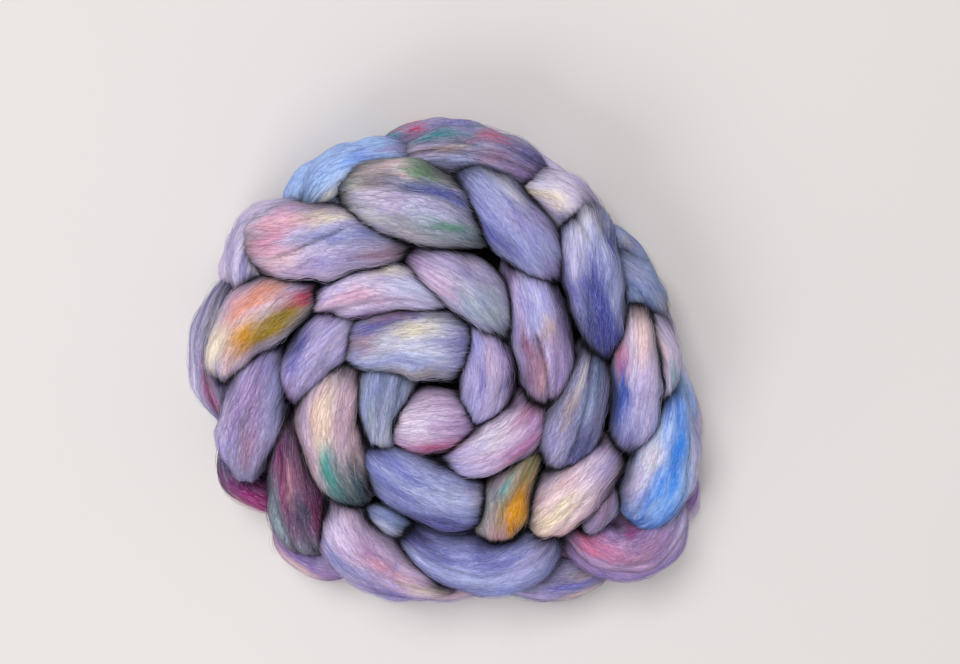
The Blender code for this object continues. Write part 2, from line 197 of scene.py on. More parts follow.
PATCHES = {
    "centre_left": ("ice",
        (0.5, 0.0, 0.5, 0.8, "steel", 0.6), (0.36, 0.1, 0.2, 0.12, "slate", 0.6),
        (0.32, -0.6, 0.18, 0.12, "slate", 0.7), (0.3, 0.6, 0.2, 0.2, "steel", 0.6),
        (0.5, 0.35, 0.2, 0.1, "grey_green", 0.7), (0.72, -0.1, 0.2, 0.45, "stone", 0.7),
        (0.68, 0.05, 0.14, 0.08, "ultramarine", 0.35), (0.06, 0.0, 0.1, 0.8, "slate", 0.3)),
    "centre_right": ("pink_lilac",
        (0.6, 0.62, 0.3, 0.3, "rose", 0.75), (0.5, 0.58, 0.14, 0.12, "red", 0.45),
        (0.16, 0.5, 0.14, 0.5, "mauve", 0.7), (0.85, 0.1, 0.16, 0.6, "mauve", 0.6),
        (0.35, -0.3, 0.22, 0.4, "white", 0.6), (0.6, 0.92, 0.4, 0.12, "plum", 0.6),
        (0.7, -0.3, 0.2, 0.4, "mauve", 0.35)),
    "core_top": ("ice",
        (0.26, -0.25, 0.09, 0.4, "rose_brown", 0.85), (0.36, -0.7, 0.11, 0.2, "ultramarine", 0.85),
        (0.42, -0.92, 0.14, 0.12, "rose_brown", 0.8), (0.5, -0.85, 0.06, 0.12, "deep_violet", 0.7),
        (0.57, -0.5, 0.16, 0.26, "cream", 0.85), (0.55, -0.05, 0.2, 0.18, "white", 0.7),
        (0.42, 0.42, 0.3, 0.15, "blue_lilac", 0.85), (0.62, 0.78, 0.22, 0.18, "tan", 0.8),
        (0.85, -0.2, 0.08, 0.7, "violet", 0.75), (0.93, 0.1, 0.07, 0.5, "periwinkle", 0.7),
        (0.13, 0.0, 0.08, 0.7, "periwinkle", 0.6)),
    "core_right": ("lilac",
        (0.2, 0.4, 0.14, 0.4, "blue_lilac", 0.6), (0.32, -0.25, 0.14, 0.3, "pink_lilac", 0.8),
        (0.4, -0.88, 0.35, 0.14, "plum", 0.7), (0.47, 0.2, 0.12, 0.12, "violet", 0.8),
        (0.82, 0.5, 0.14, 0.3, "periwinkle", 0.8), (0.55, -0.4, 0.2, 0.25, "pale_lilac", 0.6),
        (0.93, 0.0, 0.08, 0.6, "deep_violet", 0.6)),
    "core_low_right": ("pink_lilac",
        (0.5, -0.45, 0.2, 0.3, "white", 0.75), (0.9, -0.15, 0.1, 0.4, "magenta", 0.6),
        (0.66, 0.5, 0.14, 0.2, "rose", 0.7), (0.2, 0.35, 0.18, 0.5, "periwinkle", 0.7),
        (0.12, 0.0, 0.12, 0.5, "periwinkle", 0.6), (0.8, 0.6, 0.14, 0.3, "mauve", 0.6)),
    # In mid_low, the broad ice patch is a painted highlight on its upper side.
    "mid_low": ("periwinkle",
        (0.6, -0.3, 0.28, 0.45, "ice", 0.6), (0.3, -0.4, 0.14, 0.16, "ultramarine", 0.55),
        (0.35, 0.2, 0.1, 0.14, "ultramarine", 0.5), (0.5, -0.8, 0.2, 0.2, "blue_lilac", 0.8),
        (0.85, -0.55, 0.12, 0.28, "pale_lilac", 0.8), (0.72, 0.7, 0.26, 0.25, "deep_violet", 0.7),
        (0.6, 0.0, 0.2, 0.2, "blue_lilac", 0.5), (0.12, 0.3, 0.1, 0.5, "navy", 0.45)),
    "mid_left": ("blush",
        (0.37, 0.1, 0.19, 0.45, "cream", 0.6), (0.45, 0.8, 0.2, 0.18, "lilac", 0.5),
        (0.4, -0.45, 0.25, 0.3, "pink_lilac", 0.6), (0.68, 0.25, 0.1, 0.3, "bright_aqua", 0.95),
        (0.63, -0.15, 0.07, 0.2, "grey_green", 0.7), (0.74, -0.12, 0.08, 0.12, "tan", 0.6),
        (0.8, -0.45, 0.14, 0.42, "dark_teal", 0.95), (0.93, 0.1, 0.13, 0.9, "dark_teal", 0.95),
        (0.77, 0.35, 0.09, 0.26, "teal", 0.8), (0.08, 0.0, 0.1, 0.5, "lilac", 0.6)),
    "mid_upper_left": ("lilac",
        (0.5, 0.8, 0.16, 0.16, "navy", 0.75), (0.58, 0.6, 0.14, 0.14, "ultramarine", 0.6),
        (0.88, 0.0, 0.16, 0.8, "mauve", 0.8), (0.95, 0.2, 0.1, 0.6, "plum", 0.5),
        (0.35, -0.2, 0.2, 0.3, "pale_lilac", 0.5), (0.6, -0.2, 0.2, 0.2, "grey_lilac", 0.6)),
    "mid_top_left": ("pale_lilac",
        (0.17, -0.8, 0.08, 0.25, "deep_violet", 0.8), (0.2, 0.15, 0.14, 0.4, "pink_lilac", 0.8),
        (0.36, -0.1, 0.12, 0.22, "pink", 0.6), (0.5, 0.2, 0.12, 0.2, "rose", 0.25),
        (0.56, -0.75, 0.1, 0.2, "cream", 0.7), (0.78, -0.4, 0.14, 0.35, "ice", 0.8),
        (0.38, 0.75, 0.14, 0.2, "mauve", 0.8), (0.85, 0.5, 0.12, 0.3, "lilac", 0.6),
        (0.06, 0.3, 0.06, 0.6, "mauve", 0.6)),
    "mid_top": ("pale_lilac",
        (0.14, -0.2, 0.12, 0.6, "mauve", 0.8), (0.36, 0.25, 0.14, 0.3, "pink_lilac", 0.85),
        (0.42, -0.55, 0.14, 0.22, "lilac", 0.6), (0.68, -0.1, 0.2, 0.6, "grey_green", 0.75),
        (0.6, 0.4, 0.12, 0.2, "steel", 0.5), (0.9, 0.1, 0.1, 0.5, "grey", 0.6),
        (0.56, -0.8, 0.2, 0.14, "grey_lilac", 0.7)),
    "mid_right_top": ("lilac",
        (0.09, 0.2, 0.08, 0.7, "mauve", 0.8), (0.3, -0.15, 0.12, 0.35, "ice", 0.6),
        (0.47, -0.3, 0.06, 0.25, "peach", 0.8), (0.55, 0.45, 0.1, 0.2, "wine", 0.75),
        (0.58, 0.08, 0.09, 0.09, "rose_brown", 0.8), (0.68, 0.45, 0.12, 0.22, "rose_brown", 0.75),
        (0.74, 0.12, 0.08, 0.14, "orange", 0.5), (0.65, -0.5, 0.16, 0.25, "mauve", 0.6),
        (0.3, 0.7, 0.2, 0.2, "lilac", 0.6), (0.9, 0.0, 0.1, 0.6, "rose_brown", 0.5),
        (0.4, -0.85, 0.3, 0.14, "mauve", 0.6)),
    "mid_right": ("grey_lilac",
        (0.5, 0.0, 0.5, 0.9, "slate", 0.3), (0.32, 0.25, 0.12, 0.14, "cream", 0.45),
        (0.48, 0.35, 0.14, 0.2, "tan", 0.75), (0.2, -0.42, 0.12, 0.2, "slate", 0.8),
        (0.18, -0.4, 0.08, 0.08, "teal", 0.4), (0.42, -0.2, 0.14, 0.2, "steel", 0.7),
        (0.72, -0.5, 0.14, 0.3, "navy", 0.75), (0.8, 0.45, 0.14, 0.3, "lilac", 0.7),
        (0.42, 0.8, 0.14, 0.18, "grey", 0.6)),
    "mid_low_right": ("blush",
        (0.5, 0.0, 0.22, 0.6, "white", 0.45), (0.2, 0.65, 0.12, 0.25, "violet", 0.8),
        (0.2, -0.2, 0.16, 0.6, "lilac", 0.85), (0.42, -0.75, 0.2, 0.22, "pink_lilac", 0.8),
        (0.7, 0.0, 0.14, 0.25, "cream", 0.95), (0.85, 0.3, 0.12, 0.4, "cream", 0.5),
        (0.52, 0.88, 0.14, 0.14, "grey_lilac", 0.7), (0.05, 0.0, 0.07, 0.6, "mauve", 0.6)),
    "mid_fan": ("tan",
        (0.5, -0.42, 0.2, 0.42, "ochre", 1.0), (0.68, -0.6, 0.12, 0.22, "ochre", 0.85),
        (0.42, 0.45, 0.09, 0.16, "aqua", 0.75), (0.18, 0.0, 0.12, 0.7, "olive", 0.75),
        (0.5, 0.12, 0.12, 0.14, "olive", 0.6), (0.86, -0.05, 0.08, 0.25, "pink", 0.7),
        (0.62, 0.75, 0.14, 0.2, "grey_green", 0.6), (0.86, 0.6, 0.12, 0.3, "stone", 0.5)),
    # In rim_bottom, the broad ice patch and the blue_lilac patch at 0.45 are painted highlights near its
    # crest.
    "rim_bottom": ("periwinkle",
        (0.5, 0.0, 0.35, 0.35, "ice", 0.45), (0.12, -0.5, 0.1, 0.4, "deep_violet", 0.8),
        (0.31, -0.3, 0.08, 0.2, "ultramarine", 0.6), (0.45, -0.15, 0.16, 0.25, "blue_lilac", 0.8),
        (0.6, -0.5, 0.14, 0.2, "violet", 0.4), (0.7, 0.3, 0.16, 0.25, "blue_lilac", 0.7),
        (0.88, -0.2, 0.1, 0.4, "lilac", 0.7), (0.3, 0.6, 0.2, 0.2, "violet", 0.5),
        (0.5, 0.9, 0.35, 0.1, "grey_lilac", 0.6)),
    # In rim_low_left, the plum at the start is painted shade where that end passes under the leg above it.
    "rim_low_left": ("pink_lilac",
        (0.08, 0.0, 0.07, 0.7, "plum", 0.6), (0.22, -0.1, 0.1, 0.35, "pale_lilac", 0.7),
        (0.36, 0.6, 0.16, 0.22, "periwinkle", 0.85), (0.5, 0.35, 0.14, 0.2, "blue_lilac", 0.7),
        (0.47, -0.45, 0.07, 0.22, "mauve", 0.8), (0.58, -0.35, 0.08, 0.12, "rose", 0.4),
        (0.68, -0.35, 0.12, 0.16, "pink", 0.5), (0.76, 0.62, 0.14, 0.24, "ultramarine", 0.75),
        (0.86, -0.15, 0.1, 0.2, "cream", 0.75), (0.62, 0.0, 0.1, 0.14, "lilac", 0.6)),
    # In rim_left_low, the charcoal at the start is painted shade where that end goes deep under its
    # neighbours.
    "rim_left_low": ("plum",
        (0.6, 0.3, 0.3, 0.6, "grey", 0.5), (0.12, 0.0, 0.14, 0.9, "charcoal", 0.85),
        (0.34, 0.3, 0.14, 0.2, "magenta", 0.5), (0.34, -0.35, 0.14, 0.25, "rose_brown", 0.6),
        (0.47, 0.0, 0.09, 0.1, "pink", 0.85), (0.55, 0.22, 0.1, 0.12, "wine", 0.8),
        (0.66, 0.68, 0.14, 0.2, "grey_green", 0.85), (0.62, -0.4, 0.06, 0.12, "dark_teal", 0.8),
        (0.48, 0.85, 0.05, 0.12, "dark_teal", 0.6), (0.7, -0.75, 0.16, 0.2, "wine", 0.8),
        (0.68, 0.1, 0.12, 0.14, "plum", 0.6), (0.9, -0.1, 0.09, 0.5, "grey_green", 0.6)),
    "rim_left": ("lilac",
        (0.18, -0.4, 0.14, 0.3, "blue_lilac", 0.85), (0.45, 0.2, 0.25, 0.5, "mauve", 0.7),
        (0.42, -0.75, 0.16, 0.18, "blue_lilac", 0.85), (0.58, 0.12, 0.09, 0.14, "grey_lilac", 0.8),
        (0.7, -0.1, 0.09, 0.3, "rose_brown", 0.6), (0.56, 0.8, 0.1, 0.16, "pale_lilac", 0.8),
        (0.88, 0.0, 0.1, 0.6, "grey_lilac", 0.8), (0.3, 0.85, 0.2, 0.14, "grey_lilac", 0.6)),
    "rim_upper_left": ("pale_lilac",
        (0.3, -0.55, 0.16, 0.35, "cream", 0.85), (0.47, 0.18, 0.13, 0.4, "ochre", 1.0),
        (0.65, 0.36, 0.15, 0.36, "mustard", 0.95), (0.71, 0.3, 0.07, 0.24, "mustard", 0.85),
        (0.6, -0.6, 0.12, 0.24, "orange", 0.85), (0.55, -0.8, 0.12, 0.16, "pink", 0.7),
        (0.75, -0.5, 0.06, 0.3, "orange", 0.8), (0.82, 0.05, 0.045, 0.18, "red", 1.0),
        (0.94, 0.0, 0.07, 0.8, "grey_lilac", 0.75), (0.8, 0.7, 0.05, 0.2, "olive", 0.7),
        (0.26, 0.35, 0.1, 0.3, "blush", 0.7), (0.08, 0.2, 0.08, 0.5, "pink_lilac", 0.6),
        (0.5, 0.75, 0.12, 0.16, "grey_lilac", 0.6)),
    # In rim_top_left, the tan across the start is painted shade at that end.
    "rim_top_left": ("pale_lilac",
        (0.07, 0.0, 0.05, 0.9, "tan", 0.7), (0.22, -0.25, 0.08, 0.4, "coral", 0.5),
        (0.32, -0.75, 0.1, 0.22, "pink", 0.85), (0.5, -0.78, 0.1, 0.2, "cream", 0.8),
        (0.6, -0.38, 0.2, 0.2, "periwinkle", 0.9), (0.3, 0.35, 0.12, 0.25, "blush", 0.75),
        (0.42, 0.6, 0.16, 0.25, "pink_lilac", 0.8), (0.82, 0.2, 0.1, 0.4, "rose_brown", 0.75),
        (0.82, -0.5, 0.1, 0.2, "steel", 0.7), (0.6, 0.3, 0.14, 0.2, "lilac", 0.7),
        (0.16, 0.6, 0.05, 0.14, "rose", 0.4)),
    # In rim_top, the dark teal at the start is partly green dye and partly painted shade where that end dives
    # under rim_top_left.
    "rim_top": ("stone",
        (0.62, 0.0, 0.2, 0.5, "steel", 0.5), (0.2, -0.1, 0.08, 0.7, "olive", 0.5),
        (0.1, 0.1, 0.06, 0.6, "dark_teal", 0.95), (0.32, -0.85, 0.07, 0.12, "blush", 0.75),
        (0.5, -0.88, 0.1, 0.12, "leaf", 0.9), (0.27, -0.55, 0.06, 0.14, "tan", 0.8),
        (0.52, -0.58, 0.24, 0.13, "slate", 0.9), (0.68, -0.62, 0.12, 0.14, "ultramarine", 0.55),
        (0.4, -0.1, 0.16, 0.3, "pale_lilac", 0.75), (0.45, 0.45, 0.16, 0.2, "stone", 0.6),
        (0.73, 0.1, 0.07, 0.16, "green", 0.95), (0.92, 0.2, 0.08, 0.5, "teal", 0.45),
        (0.6, -0.25, 0.14, 0.14, "lilac", 0.6), (0.75, 0.6, 0.12, 0.2, "grey_green", 0.5),
        (0.25, 0.7, 0.12, 0.2, "lilac", 0.5)),
    "rim_top_right": ("blue_lilac",
        (0.12, 0.2, 0.08, 0.5, "deep_violet", 0.6), (0.28, -0.85, 0.14, 0.14, "white", 0.8),
        (0.42, 0.7, 0.14, 0.22, "ultramarine", 0.75), (0.55, -0.35, 0.16, 0.3, "lilac", 0.8),
        (0.62, 0.55, 0.12, 0.2, "violet", 0.6), (0.9, 0.1, 0.09, 0.5, "mauve", 0.75),
        (0.68, -0.85, 0.14, 0.12, "mauve", 0.7), (0.3, 0.2, 0.12, 0.2, "violet", 0.4)),
    "rim_right_top": ("blue_lilac",
        (0.14, -0.15, 0.1, 0.5, "white", 0.95), (0.33, 0.5, 0.1, 0.3, "pale_lilac", 0.8),
        (0.26, -0.78, 0.06, 0.2, "ultramarine", 0.85), (0.45, 0.1, 0.09, 0.4, "ultramarine", 0.85),
        (0.74, 0.15, 0.22, 0.65, "navy", 0.92), (0.62, -0.2, 0.1, 0.3, "ultramarine", 0.6),
        (0.6, -0.62, 0.06, 0.14, "ice", 0.8), (0.82, -0.5, 0.12, 0.3, "ultramarine", 0.7),
        (0.45, 0.85, 0.14, 0.14, "violet", 0.7), (0.9, -0.1, 0.08, 0.5, "deep_violet", 0.7),
        (0.4, -0.5, 0.08, 0.2, "periwinkle", 0.6)),
    "rim_right": ("pale_lilac",
        (0.22, -0.1, 0.16, 0.4, "peach", 0.75), (0.33, 0.75, 0.08, 0.16, "coral", 0.7),
        (0.42, 0.65, 0.06, 0.16, "rose", 0.7), (0.52, -0.1, 0.16, 0.35, "lilac", 0.8),
        (0.58, 0.75, 0.1, 0.22, "slate", 0.7), (0.64, 0.75, 0.17, 0.34, "deep_blue", 0.85),
        (0.78, 0.2, 0.1, 0.5, "periwinkle", 0.6), (0.9, 0.1, 0.08, 0.7, "deep_violet", 0.75),
        (0.6, -0.75, 0.2, 0.18, "blue_lilac", 0.6)),
    "rim_low_right": ("sky",
        (0.12, 0.25, 0.08, 0.35, "deep_blue", 0.9), (0.36, -0.15, 0.14, 0.26, "cornflower", 0.95),
        (0.52, -0.2, 0.1, 0.2, "cornflower", 0.85), (0.64, 0.2, 0.09, 0.2, "cornflower", 0.9),
        (0.46, 0.58, 0.13, 0.26, "white", 1.0), (0.68, 0.78, 0.15, 0.3, "pale_lilac", 1.0),
        (0.9, 0.0, 0.06, 0.7, "deep_blue", 0.85), (0.8, 0.35, 0.06, 0.25, "periwinkle", 0.6),
        (0.42, -0.88, 0.25, 0.12, "pale_lilac", 0.9), (0.75, -0.5, 0.1, 0.3, "cornflower", 0.7)),
    "rim_end": ("mauve",
        (0.5, 0.0, 0.4, 0.9, "pink_lilac", 0.35), (0.2, -0.25, 0.07, 0.35, "coral", 0.7),
        (0.35, -0.35, 0.1, 0.3, "rose", 0.5), (0.6, -0.25, 0.14, 0.3, "rose_brown", 0.6),
        (0.5, 0.7, 0.35, 0.22, "violet", 0.5), (0.9, 0.0, 0.08, 0.7, "pale_lilac", 0.9),
        (0.62, -0.9, 0.1, 0.12, "magenta", 0.7), (0.06, 0.3, 0.05, 0.5, "charcoal", 0.7),
        (0.75, 0.2, 0.1, 0.2, "lilac", 0.5)),
    "flank_white": ("pale_lilac",
        (0.4, -0.2, 0.2, 0.4, "white", 0.8), (0.68, 0.15, 0.1, 0.12, "ultramarine", 0.45),
        (0.6, 0.8, 0.25, 0.16, "grey_lilac", 0.7), (0.1, 0.0, 0.12, 0.6, "blue_lilac", 0.6)),
    "flank_blue": ("sky",
        (0.5, 0.1, 0.4, 0.5, "ice", 0.55), (0.3, 0.1, 0.08, 0.1, "cream", 0.75),
        (0.68, -0.55, 0.1, 0.18, "cornflower", 0.3), (0.9, -0.5, 0.1, 0.5, "mauve", 0.8),
        (0.8, 0.45, 0.2, 0.3, "pale_lilac", 0.85), (0.15, 0.3, 0.1, 0.5, "ice", 0.6),
        (0.5, -0.85, 0.3, 0.14, "periwinkle", 0.4)),
    "flank_top": ("grey_lilac",
        (0.12, -0.2, 0.1, 0.5, "pink_lilac", 0.85), (0.4, -0.85, 0.16, 0.14, "teal", 0.85),
        (0.63, -0.88, 0.05, 0.12, "red", 0.85), (0.38, -0.4, 0.09, 0.16, "tan", 0.85),
        (0.48, -0.55, 0.04, 0.1, "dark_teal", 0.8), (0.56, -0.72, 0.07, 0.1, "rose_brown", 0.6),
        (0.67, -0.25, 0.1, 0.16, "rose_brown", 0.5), (0.84, -0.7, 0.12, 0.2, "navy", 0.7),
        (0.62, 0.15, 0.06, 0.1, "navy", 0.5), (0.88, 0.0, 0.1, 0.4, "mauve", 0.8),
        (0.45, 0.1, 0.14, 0.25, "steel", 0.6)),
    "flank_cream": ("pale_lilac",
        (0.3, -0.6, 0.14, 0.25, "white", 0.8), (0.37, -0.15, 0.14, 0.2, "cream", 0.95),
        (0.46, 0.25, 0.1, 0.12, "slate", 0.5), (0.52, 0.5, 0.12, 0.12, "tan", 0.6),
        (0.65, -0.6, 0.12, 0.3, "grey_lilac", 0.7), (0.85, 0.0, 0.1, 0.6, "mauve", 0.6)),
    "flank_grey": ("steel",
        (0.35, -0.5, 0.14, 0.3, "grey_lilac", 0.6), (0.48, -0.1, 0.12, 0.1, "navy", 0.7),
        (0.3, 0.2, 0.14, 0.14, "slate", 0.7), (0.68, -0.1, 0.09, 0.2, "deep_violet", 0.6),
        (0.75, -0.7, 0.09, 0.16, "tan", 0.6), (0.85, -0.2, 0.08, 0.3, "pale_lilac", 0.6)),
    "flank_right": ("pale_lilac",
        (0.3, 0.0, 0.3, 0.3, "blush", 0.6), (0.7, -0.6, 0.08, 0.3, "aqua", 0.5)),
    "flank_right_under": ("grey_lilac",
        (0.3, 0.0, 0.2, 0.5, "steel", 0.7), (0.7, -0.3, 0.16, 0.3, "mauve", 0.6),
        (0.5, 0.3, 0.14, 0.3, "blue_lilac", 0.6)),
    "flank_low_right": ("pale_lilac",
        (0.3, -0.4, 0.2, 0.3, "blue_lilac", 0.7), (0.7, 0.0, 0.16, 0.3, "lilac", 0.6),
        (0.5, -0.8, 0.3, 0.2, "periwinkle", 0.5)),
    "flank_end": ("pale_lilac",
        (0.4, 0.0, 0.3, 0.3, "white", 0.6), (0.8, -0.3, 0.16, 0.4, "mauve", 0.6)),
    "flank_under": ("lilac",
        (0.3, 0.0, 0.16, 0.5, "periwinkle", 0.8), (0.7, 0.2, 0.16, 0.4, "blush", 0.7),
        (0.5, -0.3, 0.2, 0.2, "blue_lilac", 0.6)),
    "flank_bottom": ("grey_lilac",
        (0.6, -0.15, 0.14, 0.16, "ultramarine", 0.7), (0.7, 0.55, 0.14, 0.22, "peach", 0.85),
        (0.72, -0.5, 0.1, 0.16, "tan", 0.6), (0.25, 0.2, 0.16, 0.4, "lilac", 0.7)),
    "flank_low_left": ("mauve",
        (0.4, 0.65, 0.2, 0.25, "peach", 0.7), (0.6, -0.2, 0.2, 0.3, "grey_lilac", 0.6),
        (0.8, 0.3, 0.12, 0.3, "violet", 0.4)),
    "flank_left_low": ("plum",
        (0.2, 0.2, 0.12, 0.6, "dark_teal", 0.85), (0.72, 0.0, 0.18, 0.45, "magenta", 0.65),
        (0.75, 0.75, 0.2, 0.2, "pink", 0.7)),
    "flank_left": ("grey_lilac",
        (0.25, 0.1, 0.14, 0.16, "stone", 0.7), (0.3, -0.3, 0.16, 0.12, "charcoal", 0.6),
        (0.62, 0.1, 0.16, 0.22, "rose_brown", 0.8), (0.78, 0.1, 0.1, 0.2, "magenta", 0.5),
        (0.6, 0.75, 0.25, 0.2, "pale_lilac", 0.8)),
    "lump_low_left": ("steel",
        (0.2, 0.0, 0.2, 0.5, "violet", 0.5), (0.5, 0.2, 0.14, 0.4, "white", 0.7),
        (0.8, 0.1, 0.16, 0.4, "tan", 0.7)),
    "lump_end": ("grey_lilac",
        (0.4, 0.0, 0.3, 0.5, "rose_brown", 0.5)),
    # pit_end's charcoal is painted shade: the black of the pit behind the end.
    "pit_end": ("charcoal",
        (0.5, 0.0, 0.3, 0.5, "plum", 0.3)),
}

# Creases pressed into a leg: how far along they start and end, how far across at each end, depth and
# half width in millimetres.
CREASES = {
    "centre_left": ((0.05, 0.75, -0.55, -0.6, 0.9, 1.2),),
    "rim_top_left": ((0.18, 0.66, 0.38, -0.65, 2.4, 1.5),),
    "mid_right_top": ((0.42, 0.98, 0.2, -0.2, 2.4, 1.6),),
    "mid_right": ((0.05, 0.8, -0.1, -0.2, 2.2, 1.8),),
    "mid_low_right": ((0.35, 0.98, -0.2, -0.55, 1.2, 1.2),),
    "rim_left_low": ((0.2, 0.95, 0.25, -0.35, 1.6, 1.6), (0.45, 1.0, 0.75, 0.3, 1.6, 1.6)),
    "rim_low_left": ((0.3, 1.0, 0.1, -0.2, 1.0, 1.4), (0.45, 1.0, 0.55, 0.2, 0.8, 1.2)),
    "rim_low_right": ((0.35, 0.95, 0.55, 0.35, 1.2, 1.2), (0.1, 0.8, -0.6, -0.75, 1.4, 1.6)),
    "rim_end": ((0.0, 1.0, 0.45, 0.45, 1.6, 1.6), (0.1, 0.9, 0.05, 0.05, 0.8, 1.4)),
    "rim_top": ((0.15, 0.9, -0.45, -0.45, 1.0, 1.6), (0.1, 0.7, -0.7, -0.75, 0.8, 1.2)),
    "rim_bottom": ((0.1, 0.95, -0.1, -0.1, 1.0, 1.8),),
    "rim_right_top": ((0.0, 0.3, 0.55, -0.3, 1.6, 1.8),),
    "mid_top_left": ((0.1, 0.8, 0.35, 0.25, 1.0, 1.4),),
    "flank_left": ((0.0, 1.0, 0.1, 0.2, 2.4, 1.6), (0.0, 1.0, 0.6, 0.7, 1.6, 1.2)),
    "flank_top": ((0.0, 1.0, -0.3, -0.2, 1.2, 1.8), (0.0, 1.0, -0.7, -0.6, 1.0, 1.4)),
    "flank_white": ((0.0, 1.0, -0.3, -0.2, 1.2, 1.8),),
    "flank_blue": ((0.0, 1.0, 0.4, 0.4, 1.4, 1.8),),
}

# ---- the wool's grain and relief
GRAIN_RADIUS = 12 * MM
LUMP = 0.8 * MM
RIDGE = 0.2 * MM
THREAD_SHARE = 0.7

# The ridges stand this high in a leg's middle, and this much more where it is gathered at its ends.
RIDGES_LEAST = 0.5
RIDGES_GATHERED = 1.5

# Smooth noise on a leg: its first seed, and its wave lengths across the fibres twice and along them, in
# millimetres.
NOISE = {
    "lumps": (0, (26, 26, 40)),
    "ridges": (1000, (9, 9, 110)),
    "threads": (2000, (4, 4, 90)),
    "drift": (3000, (5, 5, 60)),
    "sway": (4000, (14, 14, 18)),
}

# How far the dye wanders off its places along and across, how wide and how soft its patches are, and how
# much purer it is than in the table.
DRIFT = 0.035
SWAY = 0.05
PATCH_SPREAD = 1.2
PATCH_EDGE = 1.4
DYE_GAIN = 1.2

# A fold shows on a leg's upper side, and fades out over a share of the leg at each end.
FOLD_SLOPE = 3
FOLD_AT_SIDES = 0.6
FOLD_FADE = 0.12
FOLD_AT_ENDS = 0.3
FOLD_EDGE = 1.5
# Shade is painted along a fold: how dark at most, how much narrower than the fold, and how deep in
# millimetres a fold must be for the full shade.
FOLD_SHADE = 0.55
FOLD_SHADE_NARROWER = 1.6
DEEP_FOLD = 2

# ---- the shade painted on the wool
# Painted shade along the thin line where two legs touch, and in the pits between them.
CONTACT_REACH = 1.5 * MM
CONTACT_SHADE = 0.9
PIT_REACH = 5 * MM
PIT_TOP = 4 * MM
PIT_DEPTH = 7 * MM
LOOKED_ROUND = 5 * PIT_REACH
END_ROOM = 3 * MM
NOTHING_NEAR = 1.0
SECTIONS = 24

# The outer flank is open to the light, from this far off the coil's middle.
OPEN_FROM = 100 * MM
OPEN_OVER = 15 * MM
OPEN_SHARE = 0.8

# A leg is lit down to this height round its section, and darkens below it.
LIT_DOWN_TO = 0.95
DARKENS_OVER = 1.5
DARKENING = 1.15

# The two tints below are painted shade: one multiplied in on the legs' undersides, one multiplied in down in
# the pits. Then come the shade values over which the pits go from unshaded to black.
PAINTED_UNDERSIDE_SHADE = (0.30, 0.27, 0.40)
PAINTED_PIT_SHADE = (0.02, 0.02, 0.03)
PIT_FROM = 0.05
PIT_BLACK = 0.8

# ---- how fine the meshes are: sides and rings
UPPER_MESH = (112, 44)
FLANK_MESH = (88, 32)
BACK_MESH = (32, 18)
BED_MESH = (64, 24)

# A loose fibre is a spindle with this many places along it and sides round it, and blunt ends.
FIBRE_POINTS = 6
FIBRE_SIDES = 3
FIBRE_BLUNTNESS = 4

# A direction that no fibre runs along, and sizes that are all but nothing.
OFF_FIBRES = (0.13, 0.21, 0.97)
LEAST_LENGTH = 1e-12
LEAST_HALF = 1e-6

# ---- the grain, and the loose fibres
# Each leg's grain starts this far from the last one's, in metres.
GRAIN_APART = 0.31

# Where the second dye of a place is taken from, to mingle with its own.
MINGLED_SHARE = 0.05
MINGLED_TURN = 0.12

# How a fibre lies: the spread of its places round the leg and of its slant, in radians, how far past the
# leg's ends it starts, and how high it arches.
ROUND_THE_LEG = 1.15
SLANT = 0.16
PAST_ENDS = 0.02
FURTHEST = 0.01
LIFT_SHAPE = 1.6
ARCH = 1.5

# How a fibre's dye differs from the wool's.
DYE_SLIP = 0.05
SHADE_SPREAD = 0.13
SHADE_RANGE = (0.6, 1.5)
PALE = 0.1
PALEST = 0.5
PALE_TONE = 0.75

# Loose fibres: which legs they lie on, how many, their girth, lift and length in millimetres, their crimp
# and their seed.
NAP_GIRTH = (0.09, 0.2)
NAP_LENGTH = (6, 20)
FIBRES = (
    # name, legs, number, girth, lift, length, crimp, seed
    ("inner_nap", "inner", 7500, NAP_GIRTH, 0.22, NAP_LENGTH, 0.035, 11),
    ("rim_nap", "rim", 7500, NAP_GIRTH, 0.22, NAP_LENGTH, 0.035, 12),
    ("flank_nap", "flank", 4500, NAP_GIRTH, 0.22, NAP_LENGTH, 0.035, 13),
    ("fuzz", "all", 5000, (0.06, 0.12), 0.4, (7, 18), 0.06, 14),
)

# ---- the wool's finish
# Streaks in the wool: turns a metre across the fibres and along them, detail, roughness and crimp.
STREAKS = {
    "mottle": (90, 45, 3, 0.6, 0.8),
    "tinge": (70, 30, 3, 0.6, 0.8),
    "broad": (300, 36, 4, 0.65, 0.5),
    "crimped": (1400, 160, 3, 0.65, 0.9),
    "hairs": (2100, 300, 2, 0.75, 1.2),
}
MINGLING = (0.42, 0.66, 0.6)

# What the streaks do to the dye, one after the other, part of it painted sheen: from and up to which value
# of the streak, how much of the tint at most, and the tint.
TINTS = (
    # blend, streak, from, up to, at most, tint
    ("MULTIPLY", "mottle", 0.5, 0.72, 0.9, (0.62, 0.64, 0.92)),
    ("MULTIPLY", "tinge", 0.5, 0.7, 0.8, (1.0, 0.88, 0.88)),
    # Lighter crimped streaks: partly paler fibres, partly painted sheen.
    ("MULTIPLY", "crimped", 0.52, 0.76, 0.28, (1.5, 1.46, 1.4)),
    ("MULTIPLY", "crimped", 0.5, 0.26, 0.45, (0.48, 0.45, 0.62)),
    ("MULTIPLY", "hairs", 0.52, 0.3, 0.85, (0.48, 0.46, 0.58)),
    # Pale glints on single hairs: painted sheen.
    ("MIX", "hairs", 0.54, 0.78, 0.5, (0.76, 0.74, 0.82)),
)
BUMP_STRENGTH = 0.5
NAP_HEIGHT = 0.5 * MM
HAIR_HEIGHT = 0.25 * MM
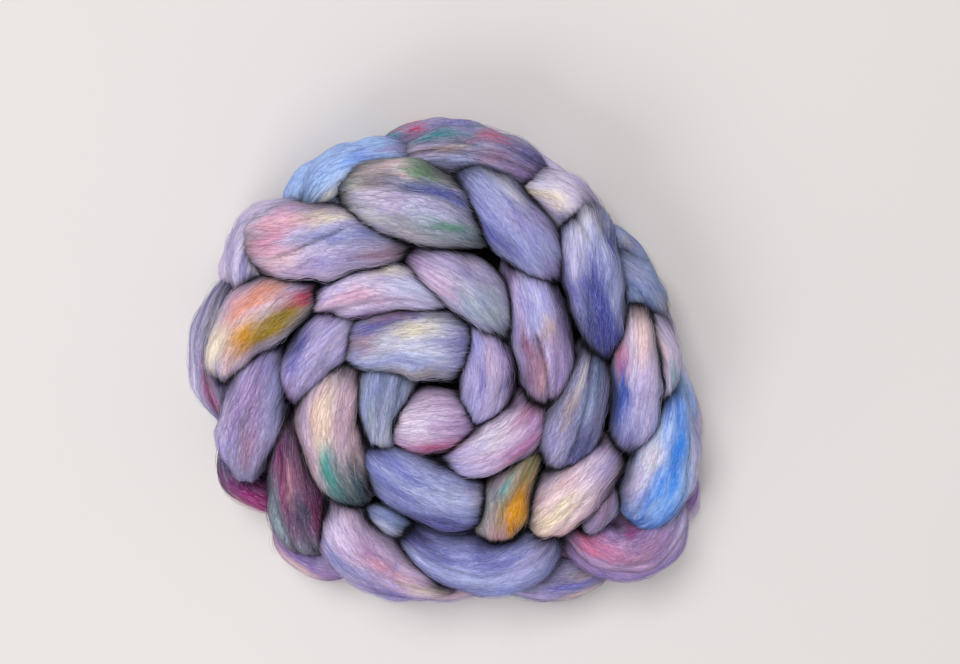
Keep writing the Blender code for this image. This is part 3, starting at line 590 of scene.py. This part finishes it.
WOOL_FINISH = {
    "Roughness": 0.78, "Specular IOR Level": 0.12, "Sheen Weight": 0.05, "Sheen Roughness": 0.45,
}
FIBRE_FINISH = {"Roughness": 0.6, "Specular IOR Level": 0.15, "Sheen Weight": 0.05}

# ---- the table, the lamps and the room
TABLE_RADIUS = 3.0
TABLE_SIDES = 96
TABLE_GAP = 0.2 * MM
TABLE_TONES = ((0.66, 0.635, 0.625), (0.70, 0.675, 0.665))
TABLE_CLOUD = {"Scale": 3.0, "Detail": 3.0}
TABLE_FINISH = {"Roughness": 0.6}
LIT_POINT = (0, 0, 30 * MM)
LAMPS = (
    # name, place and size in metres, power in watts, colour
    ("window", (-1.5, 4.0, 5.7), (3.4, 2.6), 380.0, (1.0, 0.985, 0.975)),
    ("fill", (-1.2, -1.8, 2.0), (1.5, 1.5), 32.0, (1.0, 0.985, 0.99)),
)
ROOM_COLOUR = (1.0, 0.98, 0.99)
ROOM_LIGHT = 0.37


def linear(colour):
    """An sRGB colour of 0 to 255 as the linear red, green and blue that a material takes."""
    share = np.asarray(colour, float) / 255
    return np.where(share <= 0.04045, share / 12.92, ((share + 0.055) / 1.055) ** 2.4)


def opaque(colour):
    return (*colour, 1)


def waves(seed, points, lengths, terms=28):
    """Smooth noise about 0, about 1 high, with one wave length for each of the points' axes."""
    draw = np.random.default_rng(seed)
    turns = draw.normal(size=(terms, len(lengths))) * 2 * math.pi / np.array(lengths)
    phases = draw.uniform(0, 2 * math.pi, terms)
    return np.cos(points @ turns.T + phases).sum(-1) * math.sqrt(2 / terms)


def through_three(values, share):
    """A parabola through three values, the middle one at half way."""
    first, middle, last = values
    bend = 4 * share * (1 - share)
    return first + (last - first) * share + bend * (middle - (first + last) / 2)


def unit(vectors):
    return vectors / np.maximum(np.linalg.norm(vectors, axis=-1, keepdims=True), LEAST_LENGTH)


# ---- the legs
class Leg:
    """One leg of the chain: where it runs, how thick it is and how it is coloured."""

    def __init__(self, number, row):
        self.number = number
        self.name, start, middle, end, widths, level, thickness, winding = row
        self.across = [p[0] * MM for p in (start, middle, end)]
        self.up = [p[1] * MM for p in (start, middle, end)]
        self.seen_level = level * MM
        self.level = level * MM
        self.widths = [w * MM for w in widths]
        self.thickness = thickness * MM
        self.winding = math.radians(winding)
        self.dive = END_DIVE
        self.turned = 0.0
        self.dye_shift = 0.0
        quarters = self.route(np.array((0.0, 0.25, 0.5, 0.75, 1.0)))
        self.length = np.linalg.norm(np.diff(quarters, axis=0), axis=1).sum()

    def back(self):
        """The lobe under this leg, that the coil rests on."""
        lobe = Leg.__new__(Leg)
        lobe.__dict__.update(self.__dict__)
        top = min(self.level - self.thickness / 2 + BACK_OVERLAP, BACK_HIGHEST)
        lobe.level = (top - BACK_SINK) / 2
        lobe.thickness = top + BACK_SINK
        lobe.widths = [w * BACK_SPREAD for w in self.widths]
        lobe.dive = 0.0
        lobe.turned = BACK_TURN
        lobe.dye_shift = BACK_DYE_SHIFT
        lobe.number = self.number + BACK_NUMBER
        return lobe

    def route(self, share):
        """The leg's middle line at each share of its length, 0 at its start and 1 at its end."""
        middle = np.array((0.0, 0.0, VIEW_LEVEL))
        eye = middle + SIGHT * VIEW_DISTANCE
        across = through_three(self.across, share)
        up = through_three(self.up, share)
        seen = middle + across[..., None] * ACROSS + up[..., None] * UP_IN_VIEW
        portion = (eye[2] - self.seen_level) / (eye[2] - seen[..., 2])
        point = eye + (seen - eye) * portion[..., None]
        point[..., 2] = self.level - self.dive * np.abs(2 * share - 1) ** DIVE_POWER
        point = point - COIL_MIDDLE
        x, y = point[..., 0].copy(), point[..., 1].copy()
        point[..., 0] = x * math.cos(self.turned) - y * math.sin(self.turned)
        point[..., 1] = x * math.sin(self.turned) + y * math.cos(self.turned)
        return point

    def section(self, share):
        """The middle of the leg at each share, its directions along, sideways and out, and its half sizes."""
        centre = self.route(share)
        along = unit(self.route(share + ROUTE_STEP) - self.route(share - ROUTE_STEP))
        sideways = unit(np.cross(along, (0.0, 0.0, 1.0)))
        out = np.cross(sideways, along)
        reach = np.abs((share - 0.5) * 2 / OVERRUN)
        cap = np.sqrt(np.clip(1 - reach**BLUNTNESS, 0, 1))
        half_width = np.maximum(through_three(self.widths, share), NARROWEST) / 2 * cap
        return centre, along, sideways, out, half_width, self.thickness / 2 * cap, cap

    def grain(self, share, turn):
        """Places in straightened wool: across the fibres twice, and along them."""
        wound = turn + self.winding * (share - 0.5) * 2
        across = (np.cos(wound) * GRAIN_RADIUS, np.sin(wound) * GRAIN_RADIUS)
        return np.stack((*across, share * self.length), -1)

    def noise(self, kind, place):
        seed, lengths = NOISE[kind]
        return waves(self.number + seed, place, np.array(lengths) * MM)

    def folds(self, share, turn, half_width):
        """How deep the folds pressed into the leg are here, and how much shade is painted in them."""
        upper = np.clip(np.sin(turn) * FOLD_SLOPE + FOLD_AT_SIDES, 0, 1)
        drop, shade = np.zeros(share.shape), np.zeros(share.shape)
        for begin, finish, side_begin, side_finish, deep, wide in CREASES.get(self.name, ()):
            inside = np.clip((share - begin) / (finish - begin), 0, 1)
            side = side_begin + (side_finish - side_begin) * inside
            apart = np.abs(np.cos(turn) - side) * half_width / (wide * MM)
            within = np.minimum(share - begin, finish - share)
            fade = upper * np.clip(within / FOLD_FADE + FOLD_AT_ENDS, 0, 1)
            drop = drop + fade * deep * MM * np.exp(-(apart**FOLD_EDGE))
            dark = fade * FOLD_SHADE * min(deep / DEEP_FOLD, 1)
            shade = np.maximum(shade, dark * np.exp(-((FOLD_SHADE_NARROWER * apart) ** 2)))
        return drop, shade

    def relief(self, share, turn, half_width):
        """How far the surface stands off the plain drawn-out ball: soft lumps, ridges and folds."""
        place = self.grain(share, turn)
        ridges = self.noise("ridges", place) + THREAD_SHARE * self.noise("threads", place)
        gathered = RIDGES_LEAST + RIDGES_GATHERED * np.abs(2 * share - 1) ** 2
        height = LUMP * self.noise("lumps", place) + RIDGE * gathered * ridges
        return height - self.folds(share, turn, half_width)[0]

    def surface(self, share, turn, lift=0.0):
        """Points on the leg at these shares of its length and turns round it, or this far off it."""
        centre, _, sideways, out, half_width, half_thick, cap = self.section(share)
        stand = self.relief(share, turn, half_width) * cap + lift
        side = np.cos(turn) * (half_width + stand)
        high = np.sin(turn) * (half_thick + stand)
        point = centre + sideways * side[..., None] + out * high[..., None]
        point[..., 2] = np.maximum(point[..., 2], 0.0)
        return point

    def dye(self, share, turn):
        """The dye's linear colour at these places."""
        ground, *patches = PATCHES[self.name]
        place = self.grain(share, turn)
        drift = DRIFT * self.noise("drift", place)
        side = np.cos(turn) + SWAY * self.noise("sway", place)
        share = share + drift + self.dye_shift
        colour = np.broadcast_to(linear(DYE[ground]), (*share.shape, 3)).copy()
        for at, across, long, wide, dye, strength in patches:
            far = (((share - at) / long) ** 2 + ((side - across) / wide) ** 2) / PATCH_SPREAD**2
            cover = (strength * np.exp(-(far**PATCH_EDGE)))[..., None]
            colour = colour * (1 - cover) + linear(DYE[dye]) * cover
        grey = colour.mean(-1, keepdims=True)
        return np.clip(grey + (colour - grey) * DYE_GAIN, 0, 1)


legs = [Leg(number, row) for number, row in enumerate(LEGS)]
backs = [leg.back() for leg in legs]
sections = {lobe.number: lobe.section(np.linspace(0, 1, SECTIONS)) for lobe in legs + backs}


# ---- light and shade
def gap_to_others(points, own):
    """How far each point lies off the nearest of the other lobes, 0 where they meet."""
    nearest_gap = np.full(len(points), NOTHING_NEAR)
    low, high = points.min(0) - LOOKED_ROUND, points.max(0) + LOOKED_ROUND
    for lobe in legs + backs:
        if lobe.number == own:
            continue
        centre, along, sideways, out, half_width, half_thick, _ = sections[lobe.number]
        girth = max(half_width.max(), half_thick.max())
        if (centre.max(0) + girth < low).any() or (centre.min(0) - girth > high).any():
            continue
        nearest = ((points[:, None, :] - centre[None]) ** 2).sum(-1).argmin(1)
        away = points - centre[nearest]
        wide, thick = half_width[nearest] + LEAST_HALF, half_thick[nearest] + LEAST_HALF
        side = (away * sideways[nearest]).sum(-1) / wide
        high_up = (away * out[nearest]).sum(-1) / thick
        beyond = np.abs((away * along[nearest]).sum(-1))
        gap = (np.hypot(side, high_up) - 1) * np.minimum(wide, thick) + np.maximum(beyond - END_ROOM, 0)
        nearest_gap = np.minimum(nearest_gap, np.maximum(gap, 0))
    return nearest_gap


def sheltered(points):
    """How much of its shade a place keeps: all among the legs, and little on the outer flank."""
    out = np.hypot(points[:, 0], points[:, 1]) - OPEN_FROM
    return 1 - OPEN_SHARE * np.clip(out / OPEN_OVER, 0, 1)


def shadow(points, lobe):
    """How dark a place lies: a thin line where two legs touch, and black down in the pits between them."""
    gap = gap_to_others(points, lobe.number)
    top = lobe.level + lobe.thickness / 2
    below = np.clip((top - PIT_TOP - points[:, 2]) / PIT_DEPTH, 0, 1)
    line = CONTACT_SHADE * np.exp(-gap / CONTACT_REACH)
    return np.maximum(line, below * np.exp(-gap / PIT_REACH)) * sheltered(points)


def turned_away(turn):
    """How far a place on a leg is turned from the sky: 0 on top, 1 on the underside."""
    return np.clip((LIT_DOWN_TO - np.sin(turn)) / DARKENS_OVER, 0, 1) ** DARKENING


# ---- meshes
def new_object(name, data):
    thing = bpy.data.objects.new(name, data)
    bpy.context.scene.collection.objects.link(thing)
    return thing


def new_piece(name, shape):
    """An object made from a shape that is being built."""
    mesh = bpy.data.meshes.new(name)
    shape.to_mesh(mesh)
    shape.free()
    return new_object(name, mesh)


def copies_of_ball(name, sides, rings, count):
    """A piece that holds many balls of radius 1, to be drawn out one by one."""
    ball = bmesh.new()
    bmesh.ops.create_uvsphere(ball, u_segments=sides, v_segments=rings, radius=1.0)
    piece = new_piece(name, ball)
    row = piece.modifiers.new("copies", "ARRAY")
    row.count = count
    row.use_relative_offset = False
    bpy.context.view_layer.update()
    graph = bpy.context.evaluated_depsgraph_get()
    joined = bpy.data.meshes.new_from_object(piece.evaluated_get(graph))
    piece.modifiers.clear()
    single, piece.data = piece.data, joined
    bpy.data.meshes.remove(single)
    joined.name = name
    return piece


def points_of(mesh):
    flat = np.empty(len(mesh.vertices) * 3, np.float32)
    mesh.vertices.foreach_get("co", flat)
    return flat.reshape(-1, 3)


def set_points(mesh, points):
    mesh.vertices.foreach_set("co", np.ascontiguousarray(points, np.float32).ravel())


def ball_points(piece, count):
    """The places of one ball's points, as shares of its length and turns round it."""
    one = points_of(piece.data).reshape(count, -1, 3)[0].astype(float)
    reach = 2 * np.arcsin(np.clip(one[:, 2], -1, 1)) / math.pi
    return reach, np.arctan2(one[:, 1], one[:, 0])


def keep_values(mesh, **values):
    """Writes values for each point under these names: numbers, places or colours."""
    for name, rows in values.items():
        rows = np.ascontiguousarray(rows, np.float32)
        size = rows.shape[1] if rows.ndim > 1 else 1
        kind, key = {1: ("FLOAT", "value"), 3: ("FLOAT_VECTOR", "vector"), 4: ("FLOAT_COLOR", "color")}[size]
        mesh.attributes.new(name, kind, "POINT").data.foreach_set(key, rows.ravel())


def with_alpha(colour):
    return np.concatenate((colour, np.ones((*colour.shape[:-1], 1))), -1)


def hand_over(piece, material):
    """Gives a piece its material and hands it to the coil."""
    piece.data.shade_smooth()
    piece.data.materials.append(material)
    piece.data.update()
    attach(piece, "root")
    return piece


def draw_out(piece, rows, material):
    """Sets the points and values of a piece made of balls, and turns its faces out."""
    columns = {name: np.concatenate([row[name] for row in rows]) for name in rows[0]}
    set_points(piece.data, columns.pop("spot"))
    keep_values(piece.data, **columns)
    piece.data.flip_normals()
    return hand_over(piece, material)


def make_lobes(name, lobes, sides, rings, material):
    piece = copies_of_ball(name, sides, rings, len(lobes))
    reach, turn = ball_points(piece, len(lobes))
    share = 0.5 + 0.5 * reach * OVERRUN
    rows = []
    for lobe in lobes:
        spot = lobe.surface(share, turn)
        painted_fold_shade = lobe.folds(share, turn, lobe.section(share)[4])[1]
        rows.append({
            "spot": spot,
            "grain": lobe.grain(share, turn) + (0.0, 0.0, lobe.number * GRAIN_APART),
            "dye": with_alpha(lobe.dye(share, turn)),
            "far_dye": with_alpha(lobe.dye(share + MINGLED_SHARE, turn + MINGLED_TURN)),
            # The next two values are painted shade: in the pits, along the lines where legs touch and in the
            # folds, and on the legs' undersides.
            "depth": np.maximum(shadow(spot, lobe), painted_fold_shade),
            "side": turned_away(turn) * sheltered(spot),
        })
    return draw_out(piece, rows, material)


def make_fibres(name, lobes, total, girth, lift, length, crimp, seed, material):
    """Loose fibres that lie along the lobes, each a thin closed spindle."""
    draw = np.random.default_rng(seed)
    counts = shared_out(lobes, total)
    piece = copies_of_ball(name, FIBRE_SIDES, FIBRE_POINTS - 1, sum(counts))
    reach, turn_round = ball_points(piece, sum(counts))
    step = np.clip(np.rint((reach + 1) / 2 * (FIBRE_POINTS - 1)).astype(int), 0, FIBRE_POINTS - 1)
    fine = np.sqrt(np.clip(1 - np.abs(reach) ** FIBRE_BLUNTNESS, 0, 1))
    way = np.linspace(0, 1, FIBRE_POINTS)
    rows = []
    for lobe, count in zip(lobes, counts):
        spread = draw.uniform(length[0] * MM, length[1] * MM, count) / lobe.length
        start = draw.uniform(-PAST_ENDS, 1 + PAST_ENDS, count) - spread / 2
        turn = math.pi / 2 + draw.normal(0, ROUND_THE_LEG, count)
        drift = draw.normal(0, SLANT, count)
        stand = draw.gamma(LIFT_SHAPE, lift * MM, count)
        arch = np.abs(draw.normal(0, lift * MM * ARCH, count))
        share = np.clip(start[:, None] + spread[:, None] * way, -FURTHEST, 1 + FURTHEST)
        lie = turn[:, None] + drift[:, None] * (way - 0.5) + draw.normal(0, crimp, (count, FIBRE_POINTS))
        height = stand[:, None] + arch[:, None] * np.sin(math.pi * way)
        line = lobe.surface(share, lie - lobe.winding * (share - 0.5) * 2, height)
        ahead = unit(np.gradient(line, axis=1))
        side = unit(np.cross(ahead, OFF_FIBRES))
        over = np.cross(side, ahead)
        half = draw.uniform(girth[0] * MM, girth[1] * MM, count)[:, None] / 2 * fine[None]
        aside = side[:, step] * (half * np.cos(turn_round))[..., None]
        above = over[:, step] * (half * np.sin(turn_round))[..., None]
        spot = line[:, step] + aside + above
        spot[..., 2] = np.maximum(spot[..., 2], 0.0)
        spot = spot.reshape(-1, 3)
        shade = np.clip(draw.normal(1.0, SHADE_SPREAD, (count, 1, 1)), *SHADE_RANGE)
        pale = np.clip(draw.normal(PALE, PALE, (count, 1, 1)), 0, PALEST)
        colour = lobe.dye(share + draw.normal(0, DYE_SLIP, (count, 1)), lie)
        colour = np.clip((colour * (1 - pale) + PALE_TONE * pale) * shade, 0, 1)
        rows.append({
            "spot": spot,
            "dye": with_alpha(colour)[:, step].reshape(-1, 4),
            # The next two values are painted shade: on the undersides, and in the pits and along the lines
            # where legs touch.
            "side": turned_away(lie)[:, step].ravel() * sheltered(spot),
            "depth": shadow(spot, lobe),
        })
    return draw_out(piece, rows, material)


def shared_out(lobes, total):
    """A number of fibres for each lobe, by its size."""
    sizes = np.array([lobe.length * sum(lobe.widths) for lobe in lobes])
    return [int(n) for n in np.rint(sizes / sizes.sum() * total)]


def make_bed(material):
    """The inner turns that close the coil between its legs: plum dye under full painted shade, so nearly
    black.
    """
    piece = copies_of_ball("inner_turns", *BED_MESH, 1)
    half = (BED_TOP - BED_BOTTOM) / 2
    places = points_of(piece.data) * (BED_RADIUS, BED_RADIUS, half) + (0.0, 0.0, BED_BOTTOM + half)
    dark = with_alpha(np.broadcast_to(linear(DYE["plum"]), places.shape))
    full_painted_shade = np.ones(len(places))
    set_points(piece.data, places)
    keep_values(piece.data, grain=places, dye=dark, far_dye=dark, depth=full_painted_shade, side=full_painted_shade)
    return hand_over(piece, material)


# ---- materials
def new_material(name, finish):
    material = bpy.data.materials.new(name)
    material.use_nodes = True
    shader = material.node_tree.nodes["Principled BSDF"]
    for key, value in finish.items():
        shader.inputs[key].default_value = value
    return material, material.node_tree, shader


def plug(tree, socket, value):
    """Sets an input to a value, or links it to another node's output."""
    if isinstance(value, bpy.types.NodeSocket):
        tree.links.new(value, socket)
    else:
        socket.default_value = value


def add_node(tree, kind, **settings):
    """A node with these inputs and properties."""
    node = tree.nodes.new(kind)
    for key, value in settings.items():
        if key in node.inputs:
            plug(tree, node.inputs[key], value)
        else:
            setattr(node, key, value)
    return node


def kept_value(tree, name, output):
    return add_node(tree, "ShaderNodeAttribute", attribute_name=name).outputs[output]


def streaks(tree, grain, across, along, detail, roughness, crimp):
    """Noise drawn out along the fibres: about this many turns a metre across them and along them."""
    drawn = add_node(tree, "ShaderNodeMapping", Vector=grain, Scale=(across, across, along)).outputs["Vector"]
    noise = {"Scale": 1.0, "Detail": detail, "Roughness": roughness, "Distortion": crimp}
    return add_node(tree, "ShaderNodeTexNoise", Vector=drawn, **noise).outputs["Fac"]


def remap(tree, value, low, high, most):
    """A value's range from low to high as 0 to most."""
    ends = {"From Min": low, "From Max": high, "To Min": 0.0, "To Max": most}
    return add_node(tree, "ShaderNodeMapRange", Value=value, **ends).outputs["Result"]


def mix_colour(tree, blend, amount, first, second):
    """Mixes two colours, each a socket or a colour."""
    node = add_node(tree, "ShaderNodeMix", data_type="RGBA", blend_type=blend)
    for socket, value in zip([s for s in node.inputs if s.enabled], (amount, first, second)):
        plug(tree, socket, value)
    return [s for s in node.outputs if s.enabled][0]


def in_shade(tree, colour):
    """A colour, darker on the legs' undersides and black down in the pits."""
    side = kept_value(tree, "side", "Fac")
    pit = remap(tree, kept_value(tree, "depth", "Fac"), PIT_FROM, PIT_BLACK, 1.0)
    # Painted shade on the legs' undersides, then painted shade down in the pits.
    with_underside_shade = mix_colour(tree, "MULTIPLY", side, colour, opaque(PAINTED_UNDERSIDE_SHADE))
    return mix_colour(tree, "MULTIPLY", pit, with_underside_shade, opaque(PAINTED_PIT_SHADE))


def wool_material():
    """Combed wool: dye that runs in streaks along the fibres, with painted sheen on some streaks and painted
    shade, and a soft, faintly shining nap.
    """
    material, tree, shader = new_material("combed_wool", WOOL_FINISH)
    grain = kept_value(tree, "grain", "Vector")
    streak = {name: streaks(tree, grain, *row) for name, row in STREAKS.items()}
    dyes = [kept_value(tree, name, "Color") for name in ("dye", "far_dye")]
    colour = mix_colour(tree, "MIX", remap(tree, streak["broad"], *MINGLING), *dyes)
    for blend, name, low, high, most, tint in TINTS:
        amount = remap(tree, streak[name], low, high, most)
        colour = mix_colour(tree, blend, amount, colour, opaque(tint))
    plug(tree, shader.inputs["Base Color"], in_shade(tree, colour))

    socket = shader.inputs["Normal"]
    for name, height in (("hairs", HAIR_HEIGHT), ("crimped", NAP_HEIGHT)):
        bump = add_node(tree, "ShaderNodeBump", Strength=BUMP_STRENGTH, Distance=height)
        plug(tree, bump.inputs["Height"], streak[name])
        plug(tree, socket, bump.outputs["Normal"])
        socket = bump.inputs["Normal"]
    return material


def fibre_material():
    """A loose fibre has the dye of the wool that it lies on, under the same painted shade."""
    material, tree, shader = new_material("loose_wool_fibre", FIBRE_FINISH)
    plug(tree, shader.inputs["Base Color"], in_shade(tree, kept_value(tree, "dye", "Color")))
    return material


def floor_material():
    material, tree, shader = new_material("pale_table", TABLE_FINISH)
    place = add_node(tree, "ShaderNodeTexCoord").outputs["Object"]
    cloud = add_node(tree, "ShaderNodeTexNoise", Vector=place, **TABLE_CLOUD).outputs["Fac"]
    tones = [opaque(tone) for tone in TABLE_TONES]
    plug(tree, shader.inputs["Base Color"], mix_colour(tree, "MIX", cloud, *tones))
    return material


# ---- the stage
def make_floor():
    top = bmesh.new()
    bmesh.ops.create_circle(top, cap_ends=True, segments=TABLE_SIDES, radius=TABLE_RADIUS)
    floor = new_piece("table_top", top)
    floor.data.materials.append(floor_material())
    floor.location = (0.0, 0.0, -TABLE_GAP)


def make_camera():
    right, up, towards = Vector(ACROSS), Vector(UP_IN_VIEW), Vector(SIGHT)
    aim = Vector((0.0, 0.0, VIEW_LEVEL)) + right * AIM_ACROSS + up * AIM_UP
    lens = bpy.data.cameras.new("camera")
    lens.lens = round(SENSOR_WIDTH * VIEW_DISTANCE / (FRAME_WIDTH * PIXEL), 2)
    lens.sensor_width = SENSOR_WIDTH
    lens.clip_start = NEAREST_SEEN
    camera = new_object("camera", lens)
    place = Matrix.Translation(aim + towards * VIEW_DISTANCE - Vector(COIL_MIDDLE))
    camera.matrix_world = place @ Matrix((right, up, towards)).transposed().to_4x4()
    bpy.context.scene.camera = camera


def make_lights():
    for name, place, size, power, colour in LAMPS:
        lamp = bpy.data.lights.new(name, "AREA")
        lamp.shape = "RECTANGLE"
        lamp.size, lamp.size_y = size
        lamp.energy = power
        lamp.color = colour
        light = new_object(name, lamp)
        light.location = place
        light.rotation_mode = "QUATERNION"
        light.rotation_quaternion = (Vector(place) - Vector(LIT_POINT)).to_track_quat("Z", "Y")
    world = bpy.data.worlds.new("room")
    world.use_nodes = True
    room = world.node_tree.nodes["Background"]
    room.inputs["Color"].default_value = opaque(ROOM_COLOUR)
    room.inputs["Strength"].default_value = ROOM_LIGHT
    bpy.context.scene.world = world
    bpy.context.scene.view_settings.view_transform = "Standard"


# ---- all together
make_camera()
make_lights()
make_floor()

wool = wool_material()
fibre = fibre_material()
inner = [leg for leg in legs if leg.name.startswith(("centre", "core", "mid"))]
rim = [leg for leg in legs if leg.name.startswith("rim")]
flank = [leg for leg in legs if leg not in inner and leg not in rim]
parts_of_coil = {"inner": inner, "rim": rim, "flank": flank, "all": legs}

inner_piece = make_lobes("inner_legs", inner, *UPPER_MESH, wool)
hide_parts("roving_coil")
make_lobes("rim_legs", rim, *UPPER_MESH, wool)
make_lobes("flank_legs", flank, *FLANK_MESH, wool)
make_lobes("back_legs", backs, *BACK_MESH, wool)
make_bed(wool)
for name, where, *row in FIBRES:
    make_fibres(name, parts_of_coil[where], *row, fibre)
